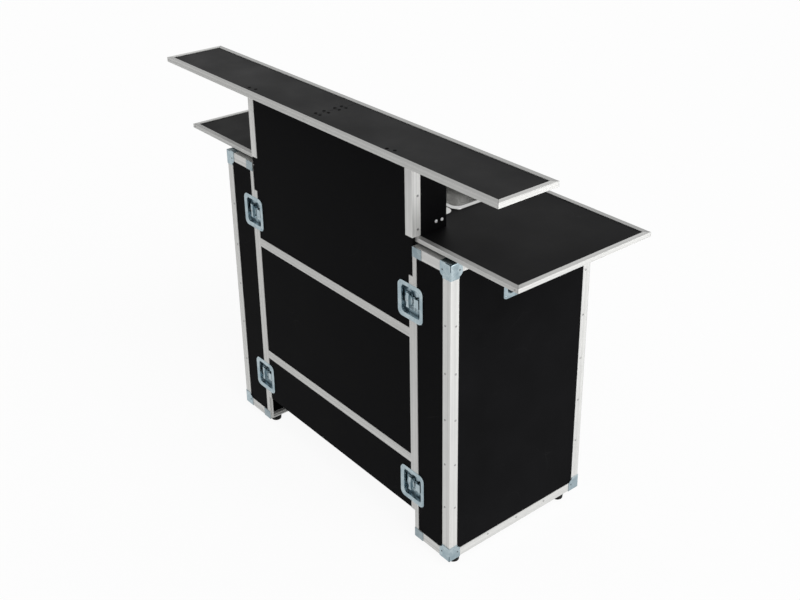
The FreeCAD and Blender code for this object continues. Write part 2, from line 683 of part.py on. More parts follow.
def hinge_parts(y, level):
    """Left leaf, right leaf and pin of a butt hinge whose pin runs along Y at a level."""
    third = LEAF_LENGTH / 3
    start = y - LEAF_LENGTH / 2
    plate_edge = KNUCKLE_RADIUS + RUN_GAP
    height = (level, level + LEAF_WALL)
    bore = tube(V(0, start, level), PIN_RADIUS + RUN_GAP, V(0, LEAF_LENGTH, 0))
    spans = [(0, third), (third + RUN_GAP, 2 * third - RUN_GAP), (2 * third, LEAF_LENGTH)]

    def leaf(sign, knuckles):
        plate = box(sorted((sign * plate_edge, sign * LEAF_WIDTH)), (start, start + LEAF_LENGTH), height)
        pieces = []
        for low, high in knuckles:
            ring = tube(V(0, start + low, level), KNUCKLE_RADIUS, V(0, high - low, 0))
            root = box(sorted((0, sign * plate_edge)), (start + low, start + high), height)
            pieces += [ring, root]
        return plate.fuse(pieces).cut(bore).removeSplitter()

    pin = tube(V(0, start, level), PIN_RADIUS, V(0, LEAF_LENGTH, 0))
    return leaf(-1, [spans[0], spans[2]]), leaf(1, [spans[1]]), pin


def knuckle_groove(y, level):
    """Room for a hinge's knuckles in the boards over it."""
    start = y - LEAF_LENGTH / 2 - CUT_GAP
    return tube(V(0, start, level), KNUCKLE_RADIUS + RUN_GAP, V(0, LEAF_LENGTH + 2 * CUT_GAP, 0))


def bar_stop():
    """Angle under the right half of the bar top that drops in front of the upper board."""
    end = X_IN - UPPER_LEG - CUT_GAP
    length = (end - STOP_LENGTH, end)
    face = FRONT + EDGE_WALL - CUT_GAP
    seat = BAR_LOW + EDGE_WALL
    near = BAR_FRONT + TOP_LIP + CUT_GAP
    flat = box(length, (near, face), (seat - STOP_WALL, seat))
    drop = box(length, (face - STOP_WALL, face), (seat - STOP_DROP, seat))
    return flat.fuse(drop).removeSplitter()


PAN_X = X_IN / 2
PAN_ROWS = [BOARD_BACK + TOP_LIP + CUT_GAP + row * (PAN_WIDTH + PAN_SPACE) for row in range(2)]
PAN_SEAT = WORKTOP_FACE + SEAT_GAP


def pan_outline(y, inset, level):
    """Rounded outline of a pan, drawn in from its rim."""
    half = PAN_LENGTH / 2 - inset
    length = (PAN_X - half, PAN_X + half)
    return outline(length, (y + inset, y + PAN_WIDTH - inset), level, (PAN_CORNER,) * 4)


def pan_body(y, inset, levels):
    """Tapered body between two levels, the taper counted from the rim's seat down."""
    drop = [(PAN_SEAT - level) * PAN_TAPER / PAN_DEPTH for level in levels]
    wires = [pan_outline(y, inset + step, level) for step, level in zip(drop, levels)]
    body = Part.makeLoft(wires, True, True)
    return body.makeFillet(PAN_FLOOR_ROUND, edges_at(body, levels[1]))


def pan(y):
    """Stainless drop-in pan with a rounded rim."""
    rim_top = PAN_SEAT + RIM_HEIGHT
    rim = Part.Face(pan_outline(y, 0, PAN_SEAT)).extrude(V(0, 0, RIM_HEIGHT))
    rim = rim.makeFillet(RIM_ROUND, edges_at(rim, rim_top))
    body = pan_body(y, PAN_RIM, (PAN_SEAT, PAN_SEAT - PAN_DEPTH))
    hollow = pan_body(y, PAN_RIM + PAN_WALL, (rim_top, PAN_SEAT - PAN_DEPTH + PAN_WALL))
    return rim.fuse(body).cut(hollow).removeSplitter()


def pan_cutout(y):
    """Hole in the worktop for a pan."""
    wire = pan_outline(y, PAN_RIM - PAN_CLEARANCE, WORKTOP_LOW)
    return Part.Face(wire).extrude(V(0, 0, MOULD))


def worktop_battens():
    """Two battens between the edges of a pedestal's top, under the worktop."""
    inner = X_IN + CLOSING_FACE + BATTEN_SETBACK
    outer = X_OUT - EDGE_LEG - BATTEN_SETBACK
    depth = (FRONT + BATTEN_END, WORKTOP_BACK - BATTEN_END)
    level = (TOP - EDGE_WALL, WORKTOP_LOW + EDGE_WALL)
    widths = [(inner, inner + BATTEN_WIDTH), (outer - BATTEN_WIDTH, outer)]
    return [box(width, depth, level) for width in widths]


# Nodes
def save_pedestals():
    """Both case halves with their edges, closing profiles, corners and feet."""
    latch_cut = dish_cutout(LATCH_BODY)
    keeper_cut = mirrored(dish_cutout(KEEPER_BODY))
    left_cuts = []
    right_cuts = []
    for level in LATCH_LEVELS:
        left_cuts += [on_front(latch_cut, -X_IN, level), on_back(latch_cut, -X_IN, level)]
        right_cuts += [on_front(keeper_cut, X_IN, level), on_back(keeper_cut, X_IN, level)]
    pocket = on_side(handle_pocket(DISH_WALL + CUT_GAP, (-HANDLE_DEPTH - BOARD, EDGE_WALL)))
    for name, board in pedestal_boards().items():
        save("right_" + name, [board.cut([pocket] + right_cuts)])
        save("left_" + name, [mirrored(board.cut(pocket)).cut(left_cuts)])
    save("right_closing_profile", [bar.cut(right_cuts) for bar in closing_bars(groove_profile())])
    save("left_closing_profile", [mirrored(bar).cut(left_cuts) for bar in closing_bars(tongue_profile())])
    groups = {
        "edge_angles": edge_angles(),
        "corner_braces": corner_braces(),
        "closing_plates": closing_plates(),
        "rubber_feet": feet(),
    }
    for name, pieces in groups.items():
        save(name, pieces + [mirrored(piece) for piece in pieces])
    dish = on_side(handle_dish())
    bail = on_side(handle_bail())
    save("handle_dishes", [mirrored(dish), dish])
    save("left_handle_bail", [mirrored(bail)])
    save("right_handle_bail", [bail])


def save_latches():
    """Six latches: two on each front closing line and two on the case's back edge."""
    places = {}
    for name, level in zip(("lower", "upper"), LATCH_LEVELS):
        places["front_left_" + name] = (on_front, -X_IN, -X_IN, level)
        places["front_right_" + name] = (on_front, X_IN, X_IN, level)
        places["back_left_" + name] = (on_back, -X_IN, X_IN, level)
    dishes = []
    keepers = []
    for name, (setting, latch_x, keeper_x, level) in places.items():
        dishes.append(setting(latch_dish(), latch_x, level))
        keepers.append(setting(keeper_dish(), keeper_x, level))
        save("latch_key_" + name, [setting(latch_key(), latch_x, level)])
        save("latch_hook_" + name, [setting(latch_hook(), latch_x, level)])
    save("latch_dishes", dishes)
    save("keeper_dishes", keepers)


def save_panel():
    """Front panel, upper board, angles and support boards."""
    cuts = []
    for level in LATCH_LEVELS:
        cuts.append(on_front(dish_cutout(LATCH_BODY), X_IN, level))
        cuts.append(on_front(mirrored(dish_cutout(KEEPER_BODY)), -X_IN, level))
    for name, board in panel_boards().items():
        save(name, [board.cut(cuts)])
    save("panel_strips", panel_strips())
    save("panel_right_profile", [panel_edge(tongue_profile()).cut(cuts)])
    save("panel_left_profile", [mirrored(panel_edge(groove_profile())).cut(cuts)])
    save("upper_angles", [mirrored(upper_angle()), upper_angle()])
    save("left_support_board", [mirrored(support_board())])
    save("right_support_board", [support_board()])


def save_worktop():
    """Worktop halves with their edging, hinges, battens and pans."""
    half = WORKTOP_LENGTH / 2
    depth = (BOARD_BACK, WORKTOP_BACK)
    hinge_rows = (BOARD_BACK + WORKTOP_HINGE_INSET, WORKTOP_BACK - WORKTOP_HINGE_INSET)
    board = top_board(half, depth, WORKTOP_LOW, BOARD)
    cuts = [pan_cutout(y) for y in PAN_ROWS] + [knuckle_groove(y, WORKTOP_LOW) for y in hinge_rows]
    board = board.cut(cuts)
    edging = top_edging(half, depth, WORKTOP_LOW, BOARD)
    save("worktop_left_board", [mirrored(board)])
    save("worktop_right_board", [board])
    save("worktop_edging", edging + [mirrored(bar) for bar in edging])
    save("worktop_hinges", [piece for y in hinge_rows for piece in hinge_parts(y, WORKTOP_LOW)])
    save("worktop_battens", worktop_battens() + [mirrored(batten) for batten in worktop_battens()])
    for name, y in zip(("front", "back"), PAN_ROWS):
        save("pan_right_" + name, [pan(y)])
        save("pan_left_" + name, [mirrored(pan(y))])


def save_bar_top():
    """Bar top halves with their edging, hinge leaves, pins and stops."""
    half = BAR_LENGTH / 2
    depth = (BAR_FRONT, BAR_BACK)
    hinge_rows = (BAR_FRONT + BAR_HINGE_FROM_FRONT, BAR_FRONT + BAR_HINGE_FROM_FRONT + BAR_HINGE_SPACING)
    board = top_board(half, depth, BAR_LOW, BAR_BOARD)
    board = board.cut([knuckle_groove(y, BAR_LOW) for y in hinge_rows])
    edging = top_edging(half, depth, BAR_LOW, BAR_BOARD)
    hinges = [hinge_parts(y, BAR_LOW) for y in hinge_rows]
    save("bar_right_board", [board])
    save("bar_left_board", [mirrored(board)])
    save("bar_right_edging", edging)
    save("bar_left_edging", [mirrored(bar) for bar in edging])
    save("bar_left_hinge_leaves", [hinge[0] for hinge in hinges])
    save("bar_right_hinge_leaves", [hinge[1] for hinge in hinges])
    save("bar_hinge_pins", [hinge[2] for hinge in hinges])
    save("bar_right_stop", [bar_stop()])
    save("bar_left_stop", [mirrored(bar_stop())])


os.makedirs("parts", exist_ok=True)
save_pedestals()
save_latches()
save_panel()
save_worktop()
save_bar_top()
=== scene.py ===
# %% [markdown]
# This lesson dresses a portable bar: a flight case whose halves stand apart as pedestals, with a
# latched front panel, a worktop with pans and a raised bar top. The solid pieces come ready made
# as a fixed frame, so the first step only loads them and notes the room they fill. What is added
# later stays in that room, to within a few hundredths of a millimetre.

# %% Load the fixed frame
import json
import bmesh
import bpy
from math import cos, pi, radians, sin
from mathutils import Matrix, Vector


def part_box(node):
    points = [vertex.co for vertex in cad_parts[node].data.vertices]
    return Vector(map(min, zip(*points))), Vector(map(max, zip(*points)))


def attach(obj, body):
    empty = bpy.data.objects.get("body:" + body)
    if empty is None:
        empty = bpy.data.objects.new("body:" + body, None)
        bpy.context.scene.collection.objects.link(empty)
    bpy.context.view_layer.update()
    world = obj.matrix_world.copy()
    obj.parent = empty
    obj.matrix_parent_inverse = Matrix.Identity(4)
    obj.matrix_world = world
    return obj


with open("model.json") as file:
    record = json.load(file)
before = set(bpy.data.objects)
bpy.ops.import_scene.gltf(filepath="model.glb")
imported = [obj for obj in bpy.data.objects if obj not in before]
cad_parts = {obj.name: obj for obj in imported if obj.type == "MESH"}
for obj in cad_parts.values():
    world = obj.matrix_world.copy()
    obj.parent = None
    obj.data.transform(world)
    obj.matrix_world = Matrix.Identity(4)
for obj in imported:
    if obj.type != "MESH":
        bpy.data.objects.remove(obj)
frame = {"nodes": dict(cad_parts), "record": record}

scene = bpy.context.scene
MM = 0.001
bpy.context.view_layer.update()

# %% [markdown]
# Rivets and screws sit on the pieces that they hold. Their places could all be typed in as numbers,
# but then none would follow if a size changed. Most are measured from boxes instead: the box round
# the edge angles gives the outer faces of the case, and the boxes of single pieces give the rest.
# Only a few heights are given from the floor.

# %% Faces of the case to measure from
edges_low, edges_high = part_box("edge_angles")
END, FRONT, BACK = edges_high.x, edges_low.y, edges_high.y
BOTTOM, TOP = edges_low.z, edges_high.z
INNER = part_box("right_closing_profile")[0].x
MIDDLE_Y = (FRONT + BACK) / 2
MIDDLE_Z = (BOTTOM + TOP) / 2
case_middle = ((END + INNER) / 2, MIDDLE_Y, MIDDLE_Z)
case_half = ((END - INNER) / 2, (BACK - FRONT) / 2, (TOP - BOTTOM) / 2)
print("case front, back, end in mm:", [round(face / MM, 2) for face in (FRONT, BACK, END)])

# %% [markdown]
# A finish is a small graph of shader nodes. It could be wired by hand in the shader editor, but a
# script gives the same graph on each run. The helpers here keep it readable: one starts a material,
# one adds a node, and one sets the inputs of a node or links them to other nodes.

# %% Helpers that build a finish
def new_finish(name):
    """A material, its node tree and its shader."""
    finish = bpy.data.materials.new(name)
    finish.use_nodes = True
    return finish, finish.node_tree, finish.node_tree.nodes["Principled BSDF"]


def add(tree, kind, inputs=None, **settings):
    """A node with its settings, and its inputs set to values or linked to other nodes."""
    made = tree.nodes.new("ShaderNode" + kind)
    for key, value in settings.items():
        setattr(made, key, value)
    fill(tree, made, inputs or {})
    return made


def fill(tree, made, inputs):
    """Set or link the inputs of a node."""
    for key, value in inputs.items():
        if isinstance(value, bpy.types.NodeSocket):
            tree.links.new(value, made.inputs[key])
        else:
            made.inputs[key].default_value = value


print("finish helpers ready")

# %% [markdown]
# Most detail in a finish is noise at some scale: broad for handling marks, fine for the surface of
# a film or a casting. Pictures could give it too, but noise needs no file and no unwrapping, and it
# runs on without a seam. Each noise is then graded into a range of roughness, or mixed between two
# colours. The pieces sit at the origin of the frame, so their object coordinates are metres.

# %% Helpers for texture inside a finish
def place_on(tree):
    """Position on the object in metres."""
    return add(tree, "TexCoord").outputs["Object"]


def noise(tree, place, scale, detail=2.0):
    """Soft noise whose features are about 1 / scale metres wide."""
    return add(tree, "TexNoise", {"Vector": place, "Scale": scale, "Detail": detail}).outputs["Fac"]


def graded(tree, value, low, high, start=0.3, end=0.7):
    """A value moved from one range into another, and kept inside it."""
    limits = {"Value": value, "From Min": start, "From Max": end, "To Min": low, "To Max": high}
    return add(tree, "MapRange", limits).outputs["Result"]


def mixed(tree, share, first, second):
    """A colour between two others."""
    colours = {"Factor": share, 6: first, 7: second}
    return add(tree, "Mix", colours, data_type="RGBA").outputs[2]


def relief(tree, height, depth, strength):
    """Bump of a given depth in metres."""
    inputs = {"Height": height, "Distance": depth, "Strength": strength}
    return add(tree, "Bump", inputs).outputs["Normal"]


def calc(tree, operation, *values):
    """One step of arithmetic."""
    return add(tree, "Math", dict(enumerate(values)), operation=operation).outputs[0]


def blend(tree, first, share, second):
    """A share of one value and the rest of another."""
    rest = calc(tree, "MULTIPLY", second, 1.0 - share)
    return calc(tree, "MULTIPLY_ADD", first, share, rest)


def tinted(colour, bright):
    """A colour made brighter or darker."""
    return [bright * part for part in colour] + [1]


print("texture helpers ready")

# %% [markdown]
# The boards are birch plywood faced with black phenolic film. The film is nearly black and satin,
# with a fine pressed texture, broad patches where hands have polished it, and a few faint hairline
# scuffs. One flat black would do from far off, but close by it would look like a hole. The scuffs
# are the edges of large, bent cells, kept only in some patches. A low specular level keeps the film
# black against the pale room. The two tops are wiped often, so theirs is a little glossier.

# %% Black film board
SCUFFED_FILM = (0.03, 0.03, 0.031, 1)


def black_film(name, dark, pale, gloss):
    """Satin black film with a pressed texture and faint scuffs."""
    finish, tree, shader = new_finish(name)
    place = place_on(tree)
    handling = noise(tree, place, 6.0, 4.0)
    pressed = noise(tree, place, 1100.0, 1.0)
    wander = add(tree, "TexNoise", {"Vector": place, "Scale": 3.0}).outputs["Color"]
    bent = add(tree, "VectorMath", {0: place, 1: wander}).outputs[0]
    cells = add(tree, "TexVoronoi", {"Vector": bent, "Scale": 5.0}, feature="DISTANCE_TO_EDGE")
    hairline = graded(tree, cells.outputs["Distance"], 1.0, 0.0, 0.0, 0.004)
    patches = graded(tree, noise(tree, place, 4.0), 0.0, 0.5, 0.58, 0.68)
    scuffs = calc(tree, "MULTIPLY", hairline, patches)
    film = mixed(tree, graded(tree, handling, 0.0, 1.0), dark, pale)
    fill(tree, shader, {
        "Base Color": mixed(tree, scuffs, film, SCUFFED_FILM),
        "Roughness": graded(tree, handling, 0.48, 0.62),
        "Specular IOR Level": gloss,
        "Normal": relief(tree, pressed, 0.0002, 0.25),
    })
    return finish


board_finish = black_film(
    "black_film_board", dark=(0.0034, 0.0034, 0.0037, 1), pale=(0.0056, 0.0056, 0.0061, 1), gloss=0.012)
worktop_finish = black_film(
    "black_film_worktop", dark=(0.0032, 0.0032, 0.0035, 1), pale=(0.0054, 0.0054, 0.0058, 1), gloss=0.048)
bar_finish = black_film(
    "black_film_bar_top", dark=(0.0036, 0.0036, 0.0039, 1), pale=(0.006, 0.006, 0.0064, 1), gloss=0.072)
print("made", board_finish.name, worktop_finish.name, bar_finish.name)

# %% [markdown]
# The edge angles, channels and strips are extruded aluminium. An extrusion shows fine lines along
# its run. Each bar could have a material that is turned its own way, but some of these pieces are
# frames whose bars run different ways. So the shader finds the run by position: a bar of a frame is
# close to the frame's sides in every direction but its own. A direction in which no bar runs gets a
# half size that is never reached.

# %% Find the run of each aluminium bar
FAR = 9.0
NEVER = -FAR
SAME = 1e-6
JOINT_WIDTH = 0.6 * MM


def depths_inside(tree, place, centre, half):
    """How far inside the sides of a box a point lies along X, Y and Z, for both ends of the bar."""
    split = add(tree, "SeparateXYZ", {"Vector": place})
    depths = []
    for axis in range(3):
        reach = calc(tree, "ABSOLUTE", split.outputs[axis]) if axis == 0 else split.outputs[axis]
        away = calc(tree, "ABSOLUTE", calc(tree, "SUBTRACT", reach, centre[axis]))
        depths.append(calc(tree, "SUBTRACT", half[axis], away))
    return depths


def run_of_bars(tree, place, centre, half):
    """The direction in which a bar runs, and a value that is one where two bars meet in a mitre."""
    depths = depths_inside(tree, place, centre, half)
    most = calc(tree, "MAXIMUM", calc(tree, "MAXIMUM", depths[0], depths[1]), depths[2])
    flags = [calc(tree, "COMPARE", depth, most, SAME) for depth in depths]
    run = add(tree, "CombineXYZ", dict(enumerate(flags))).outputs[0]
    near = [calc(tree, "COMPARE", depth, most, JOINT_WIDTH) for depth in depths]
    count = calc(tree, "ADD", calc(tree, "ADD", near[0], near[1]), near[2])
    return run, calc(tree, "GREATER_THAN", count, 1.5)


print("a mitre shows as a joint", round(JOINT_WIDTH / MM, 1), "mm to each side")

# %% [markdown]
# One noise, stretched along the run, gives the lines for all the bars, and a dark line marks each
# mitre where two of them meet. The angles beside the upper board stand over the black worktop and
# would mirror it, so they are painted brighter and made less metallic, as painted light.

# %% Drawn aluminium
METAL_DEEP, METAL_PALE = (0.42, 0.42, 0.412), (0.6, 0.6, 0.586)
PAINTED_DIM_LIP, JOINT_DARK = (0.25, 0.25, 0.245, 1), (0.05, 0.05, 0.05, 1)
DIM_LIP_SHARE = 0.55
LINES_ALONG, LINES_ACROSS = 2.5, 900.0


def drawn_aluminium(name, centre, half, bright=1.0, lip=FAR, metallic=0.8):
    """Extruded aluminium: lines along each bar, a dark joint at each mitre, lips of bars along X painted
    darker above a level, a painted dim reflection.
    """
    finish, tree, shader = new_finish(name)
    place = place_on(tree)
    run, joint = run_of_bars(tree, place, centre, half)
    scales = {0: run, 1: (LINES_ALONG - LINES_ACROSS,) * 3, 2: (LINES_ACROSS,) * 3}
    stretch = add(tree, "VectorMath", scales, operation="MULTIPLY_ADD").outputs[0]
    drawn = add(tree, "VectorMath", {0: place, 1: stretch}, operation="MULTIPLY").outputs[0]
    lines = noise(tree, drawn, 1.0, 4.0)
    bands = noise(tree, drawn, 0.2, 1.0)
    smudges = noise(tree, place, 22.0, 4.0)
    tone = graded(tree, blend(tree, lines, 0.45, bands), 0.0, 1.0)
    metal = mixed(tree, tone, tinted(METAL_DEEP, bright), tinted(METAL_PALE, bright))
    # Painted reflection: the top lips of bars along X get a darker colour, as they reflect less light.
    on_lip = calc(tree, "GREATER_THAN", add(tree, "SeparateXYZ", {"Vector": place}).outputs[2], lip)
    long_bar = add(tree, "SeparateXYZ", {"Vector": run}).outputs[0]
    dim_lip = calc(tree, "MULTIPLY", calc(tree, "MULTIPLY", on_lip, long_bar), DIM_LIP_SHARE)
    metal = mixed(tree, dim_lip, metal, PAINTED_DIM_LIP)
    fill(tree, shader, {
        "Metallic": metallic,
        "Base Color": mixed(tree, joint, metal, JOINT_DARK),
        "Roughness": graded(tree, blend(tree, smudges, 0.6, lines), 0.44, 0.6),
        "Normal": relief(tree, lines, 0.00008, 0.25),
    })
    return finish


ORIGIN = (0, 0, 0)
UPRIGHT = (NEVER, NEVER, FAR)
LEVEL = (FAR, NEVER, NEVER)
edge_finish = drawn_aluminium("edge_aluminium", case_middle, case_half, bright=1.13)
closing_finish = drawn_aluminium("closing_aluminium", case_middle, (NEVER,) + case_half[1:])
upright_finish = drawn_aluminium("upright_aluminium", ORIGIN, UPRIGHT)
level_finish = drawn_aluminium("level_aluminium", ORIGIN, LEVEL)
# Painted light: the upper angles get a brighter colour and less metal than the rest.
brightened_angle_finish = drawn_aluminium("angle_aluminium", ORIGIN, UPRIGHT, bright=1.2, metallic=0.5)
print("made aluminium for edges, closing frames, uprights, strips and upper angles")

# %% [markdown]
# The worktop and the bar top are framed by channel with mitred corners. The same finish follows
# the mitre by itself, because the two directions are equally far from the sides on the diagonal.
# The lips of the long sides are painted darker than the rest, a painted reflection that is dimmer there.

# %% Aluminium of the two tops
LIP_DEPTH = 0.2 * MM


def top_aluminium(name, *nodes):
    """Drawn aluminium round a top, measured from the nodes that frame it."""
    lows, highs = zip(*(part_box(node) for node in nodes))
    low = Vector(min(corner[axis] for corner in lows) for axis in range(3))
    high = Vector(max(corner[axis] for corner in highs) for axis in range(3))
    centre = (low + high) / 2
    half = (high - low) / 2
    return drawn_aluminium(name, (0, centre.y, 0), (half.x, half.y, NEVER), lip=high.z - LIP_DEPTH)


worktop_edge_finish = top_aluminium("worktop_aluminium", "worktop_edging")
bar_edge_finish = top_aluminium("bar_aluminium", "bar_left_edging", "bar_right_edging")
print("made", worktop_edge_finish.name, "and", bar_edge_finish.name)

# %% [markdown]
# Pressed steel is painted dark in two kinds of places, and both depend on where it lies on the case.
# Shade is painted in the pockets of the dishes: it is heavy on their walls, lies in blotches on what
# looks out, and is absent from the backs. A brace, which is folded from one sheet, gets a dark seam
# painted where its three walls meet, for the shade and dirt in its narrow gap. Masks painted in
# pictures could mark these places, but the depth below the faces of the case tells them too, and
# needs no picture.

# %% Find where shade is painted on pressed steel
POCKET_TOP, POCKET_FLOOR = 3 * MM, 12 * MM
INWARD = -0.3
FOLD = 2 * MM
SEAM = 1.2 * MM
SEAM_LENGTH = 18 * MM


def looks_out(tree, place, axis):
    """How squarely a face looks out of the case along an axis: one straight out, minus one inward."""
    normal = add(tree, "SeparateXYZ", {"Vector": add(tree, "TexCoord").outputs["Normal"]})
    position = add(tree, "SeparateXYZ", {"Vector": place})
    middle = 0.0 if axis == 0 else case_middle[axis]
    side = calc(tree, "SIGN", calc(tree, "SUBTRACT", position.outputs[axis], middle))
    return calc(tree, "MULTIPLY", normal.outputs[axis], side)


def pocket_painted_shade(tree, place, depths, axis):
    """Painted shade that grows with depth in a pocket: heavy on its walls, in blotches on what looks out.
    """
    out = looks_out(tree, place, axis)
    walls = graded(tree, out, 0.86, 0.0, 0.7, 0.95)
    blotches = graded(tree, noise(tree, place, 75.0), 0.0, 0.66, 0.42, 0.58)
    # Painted shade: the colour darkens the deeper a point lies below the face of the case.
    deep = graded(tree, depths[axis], 0.0, 1.0, POCKET_TOP, POCKET_FLOOR)
    share = calc(tree, "MULTIPLY", deep, calc(tree, "MAXIMUM", walls, blotches))
    return calc(tree, "MULTIPLY", share, calc(tree, "GREATER_THAN", out, INWARD))


def fold_shade_and_dirt(tree, depths):
    """One along the middle of a brace's three folded edges, near the corner where they meet: painted
    shade and dirt of the gap there.
    """
    share = 0.0
    for first, second, third in ((0, 1, 2), (0, 2, 1), (1, 2, 0)):
        fold = calc(tree, "COMPARE", depths[first], depths[second], SEAM)
        on_edge = calc(tree, "LESS_THAN", calc(tree, "MAXIMUM", depths[first], depths[second]), FOLD)
        near = calc(tree, "LESS_THAN", depths[third], SEAM_LENGTH)
        seam = calc(tree, "MULTIPLY", calc(tree, "MULTIPLY", fold, on_edge), near)
        share = calc(tree, "MAXIMUM", share, seam)
    return share


print("pockets are darkest from", round(POCKET_FLOOR / MM), "mm down")

# %% [markdown]
# Corner braces, latch dishes, handles and hinges have bright zinc plating. It is bluish, a little
# cloudy, and shows faint crystal patches. Soft noise alone would give clouds without edges, so cell
# noise gives the patches and soft noise only the clouding.

# %% Zinc plated steel
ZINC_DEEP, ZINC_PALE = (0.265, 0.345, 0.385), (0.43, 0.51, 0.54)
# Colour of the shade painted in the pockets and along the folded seams.
ZINC_PAINTED_SHADE = (0.01, 0.027, 0.042, 1)


def zinc_plate(name, bright=1.0, pocket_axis=None, seams=False):
    """Bluish zinc with crystal patches and clouding, with painted shade in pockets along an axis or at
    seams.
    """
    finish, tree, shader = new_finish(name)
    place = place_on(tree)
    depths = depths_inside(tree, place, case_middle, case_half)
    crystals = add(tree, "TexVoronoi", {"Vector": place, "Scale": 110.0}).outputs["Color"]
    patch = add(tree, "SeparateColor", {"Color": crystals}).outputs[0]
    clouds = noise(tree, place, 38.0, 4.0)
    rolled = noise(tree, place, 700.0, 3.0)
    tone = blend(tree, patch, 0.16, clouds)
    deep, pale = tinted(ZINC_DEEP, bright), tinted(ZINC_PALE, bright)
    plating = mixed(tree, graded(tree, tone, 0.0, 1.0), deep, pale)
    dark = 0.0
    if seams:
        # Dark seam painted at the brace's folds, for the shade and dirt in the narrow gap there.
        dark = fold_shade_and_dirt(tree, depths)
    if pocket_axis is not None:
        # Painted shade in the pocket of a dish, darker with depth.
        dark = pocket_painted_shade(tree, place, depths, pocket_axis)
    fill(tree, shader, {
        "Metallic": 1.0,
        "Base Color": mixed(tree, dark, plating, ZINC_PAINTED_SHADE),
        "Roughness": graded(tree, tone, 0.15, 0.32),
        "Normal": relief(tree, calc(tree, "ADD", rolled, clouds), 0.0003, 0.12),
    })
    return finish


zinc_finish = zinc_plate("zinc_plate")
dull_zinc_finish = zinc_plate("zinc_closing_plate", bright=0.72)
latch_zinc_finish = zinc_plate("zinc_latch_dish", pocket_axis=1)
handle_zinc_finish = zinc_plate("zinc_handle_dish", pocket_axis=0)
brace_zinc_finish = zinc_plate("zinc_brace", seams=True)
print("made zinc for small parts, closing plates, latch dishes, handle dishes and braces")

# %% [markdown]
# The drop-in pans are deep drawn stainless steel, brushed along their length. An anisotropic shader
# could stretch the highlights in the same way, but stretched noise also shows the single lines. The
# rubber of the feet and grips is matt, slightly grey where it has rubbed, with a moulded grain.

# %% Stainless steel and rubber
BRUSH_SCALE = (12.0, 1800.0, 1800.0)
STAINLESS_DEEP, STAINLESS_PALE = (0.46, 0.46, 0.455, 1), (0.55, 0.55, 0.54, 1)
RUBBER_DEEP, RUBBER_PALE = (0.004, 0.004, 0.004, 1), (0.011, 0.011, 0.0105, 1)


def brushed_stainless(name):
    """Stainless steel brushed along the bar."""
    finish, tree, shader = new_finish(name)
    place = place_on(tree)
    drawn = add(tree, "VectorMath", {0: place, 1: BRUSH_SCALE}, operation="MULTIPLY").outputs[0]
    lines = noise(tree, drawn, 1.0, 3.0)
    stains = noise(tree, place, 14.0, 3.0)
    tone = graded(tree, lines, 0.0, 1.0)
    fill(tree, shader, {
        "Metallic": 1.0,
        "Base Color": mixed(tree, tone, STAINLESS_DEEP, STAINLESS_PALE),
        "Roughness": graded(tree, blend(tree, lines, 0.5, stains), 0.16, 0.28),
        "Normal": relief(tree, lines, 0.00004, 0.12),
    })
    return finish


def moulded_rubber(name):
    """Matt black rubber with a moulded grain."""
    finish, tree, shader = new_finish(name)
    place = place_on(tree)
    rubbed = noise(tree, place, 60.0, 4.0)
    grain = noise(tree, place, 1600.0, 2.0)
    tone = graded(tree, rubbed, 0.0, 1.0)
    fill(tree, shader, {
        "Base Color": mixed(tree, tone, RUBBER_DEEP, RUBBER_PALE),
        "Roughness": graded(tree, rubbed, 0.62, 0.82),
        "Specular IOR Level": 0.1,
        "Normal": relief(tree, grain, 0.0003, 0.4),
    })
    return finish


stainless_finish = brushed_stainless("brushed_stainless")
rubber_finish = moulded_rubber("moulded_rubber")
print("made", stainless_finish.name, "and", rubber_finish.name)

# %% [markdown]
# Rivets and screws could each have a graph of their own, but they are so small that they differ
# mostly in colour, so one mottled finish serves them all. The rivets of the edges are dull aluminium
# and those of the braces are dark. The screws in the bar top are blackened, those in hinges and feet
# are plated, and those in the support boards are pale and little metallic, a painted highlight.

# %% Rivet and screw finishes
ROUGH_SPAN = 0.14


def fastener_metal(name, dark, pale, rough, metallic=1.0, gloss=0.5):
    """Finish of a small fastener, mottled at its own scale."""
    finish, tree, shader = new_finish(name)
    place = place_on(tree)
    mottle = noise(tree, place, 420.0, 3.0)
    pits = noise(tree, place, 2600.0, 2.0)
    fill(tree, shader, {
        "Metallic": metallic,
        "Specular IOR Level": gloss,
        "Base Color": mixed(tree, graded(tree, mottle, 0.0, 1.0), dark, pale),
        "Roughness": graded(tree, mottle, rough, rough + ROUGH_SPAN),
        "Normal": relief(tree, pits, 0.0001, 0.25),
    })
    return finish


rivet_finish = fastener_metal(
    "rivet_aluminium", dark=(0.24, 0.24, 0.24, 1), pale=(0.4, 0.4, 0.395, 1), rough=0.3)
zinc_rivet_finish = fastener_metal(
    "rivet_zinc", dark=(0.07, 0.08, 0.09, 1), pale=(0.2, 0.23, 0.25, 1), rough=0.28)
black_screw_finish = fastener_metal(
    "blackened_screw", dark=(0.002, 0.002, 0.002, 1), pale=(0.005, 0.005, 0.005, 1), rough=0.5,
    metallic=0.0, gloss=0.01)
steel_screw_finish = fastener_metal(
    "plated_screw", dark=(0.45, 0.47, 0.48, 1), pale=(0.6, 0.61, 0.62, 1), rough=0.24)
# Painted highlight: pale and little metallic, so these screws stay bright instead of mirroring the dark
# tops.
highlight_screw_finish = fastener_metal(
    "bright_screw", dark=(0.8, 0.81, 0.82, 1), pale=(0.92, 0.92, 0.93, 1), rough=0.18, metallic=0.25)
print("made", rivet_finish.name, "and", zinc_rivet_finish.name)
print("made", black_screw_finish.name, steel_screw_finish.name, highlight_screw_finish.name)
